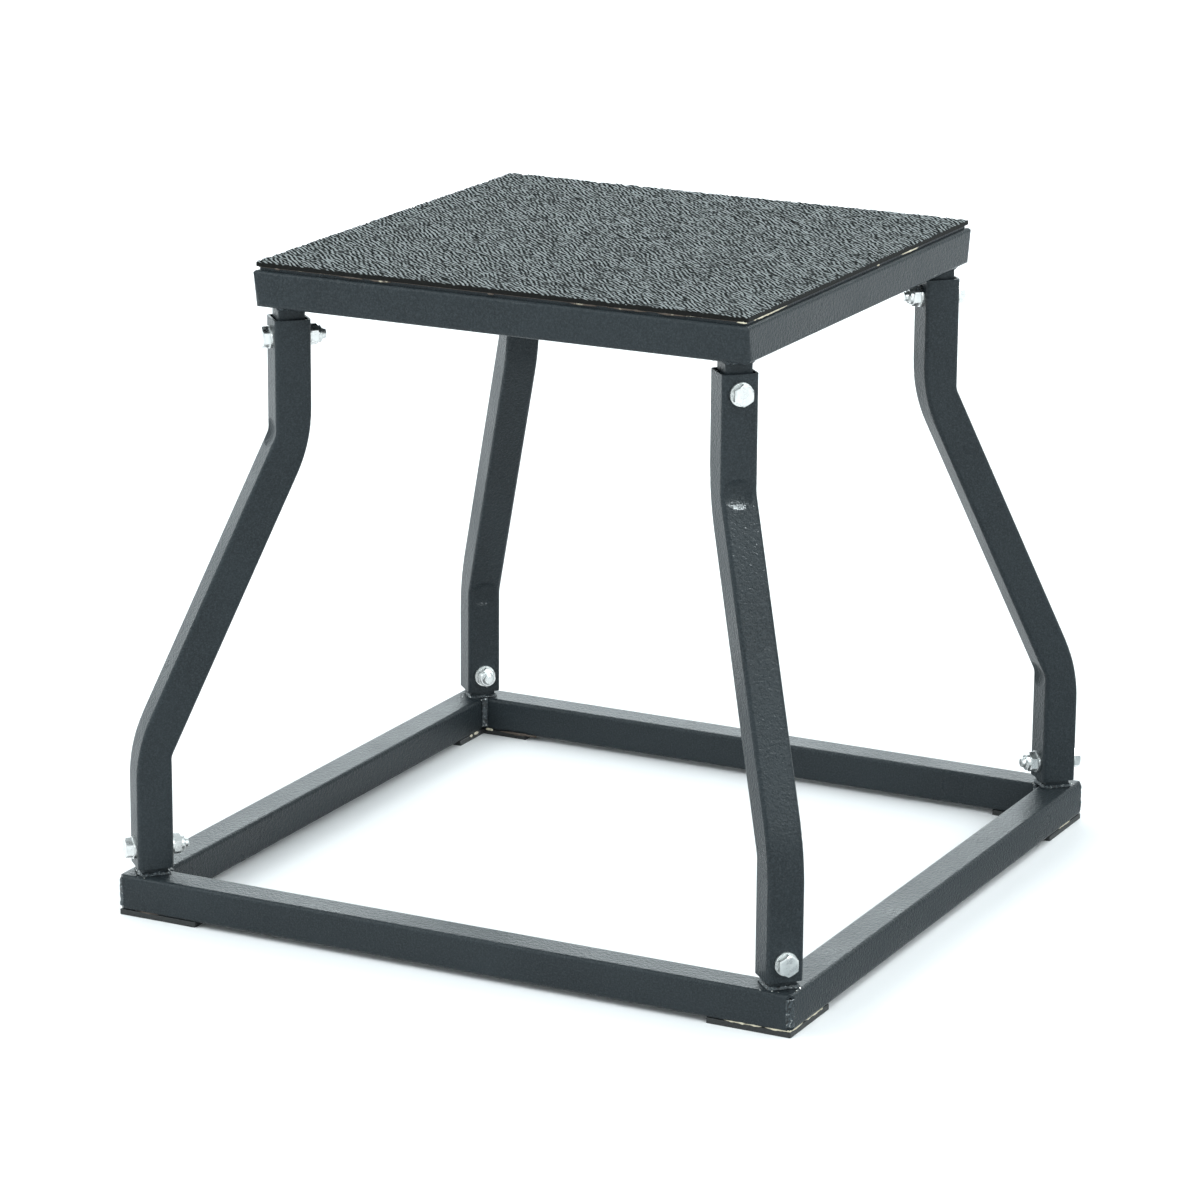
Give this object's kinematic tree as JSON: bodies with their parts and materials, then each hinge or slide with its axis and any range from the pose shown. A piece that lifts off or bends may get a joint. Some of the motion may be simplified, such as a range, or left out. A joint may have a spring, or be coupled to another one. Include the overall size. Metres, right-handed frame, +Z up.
{
  "type": "plyo box",
  "caption": "Plyometric jump box: square steel-tube base, cranked square-tube legs bolted over welded stubs, and a smaller square platform with a pebbled rubber mat.",
  "frame": {"origin": "on the floor, under the middle of the box", "axes": "+Z up, +X to the right and +Y to the rear, along the sides of the square base"},
  "size_m": [0.5164, 0.5164, 0.4572],
  "materials": {
    "powder_coat": "satin",
    "coated_weld": "satin",
    "mat_rubber": "matte",
    "foot_rubber": "matte",
    "adhesive": "satin",
    "zinc": "satin",
    "nylon": "matte"
  },
  "bodies": {
    "root": {"base_front_rail": "powder_coat", "platform_front_rail": "powder_coat", "base_right_rail": "powder_coat", "platform_right_rail": "powder_coat", "base_rear_rail": "powder_coat", "platform_rear_rail": "powder_coat", "base_left_rail": "powder_coat", "platform_left_rail": "powder_coat", "platform_brace": "powder_coat", "deck_sheet": "powder_coat", "mat_adhesive": "adhesive", "rubber_mat": "mat_rubber", "leg_rear_right": "powder_coat", "lower_stub_rear_right": "powder_coat", "upper_stub_rear_right": "powder_coat", "foot_pad_rear_right": "foot_rubber", "leg_rear_left": "powder_coat", "lower_stub_rear_left": "powder_coat", "upper_stub_rear_left": "powder_coat", "foot_pad_rear_left": "foot_rubber", "leg_front_left": "powder_coat", "lower_stub_front_left": "powder_coat", "upper_stub_front_left": "powder_coat", "foot_pad_front_left": "foot_rubber", "leg_front_right": "powder_coat", "lower_stub_front_right": "powder_coat", "upper_stub_front_right": "powder_coat", "foot_pad_front_right": "foot_rubber", "platform_corner_welds": "powder_coat", "base_corner_welds": "coated_weld", "platform_frame_welds": "coated_weld", "deck_stitch_welds": "coated_weld", "lower_stub_welds": "coated_weld", "upper_stub_welds": "coated_weld", "lower_leg_bolts": "zinc", "upper_leg_bolts": "zinc", "outer_washers": "zinc", "inner_washers": "zinc", "lock_nuts": "zinc", "nut_nylon_rings": "nylon"}
  },
  "joints": []
}
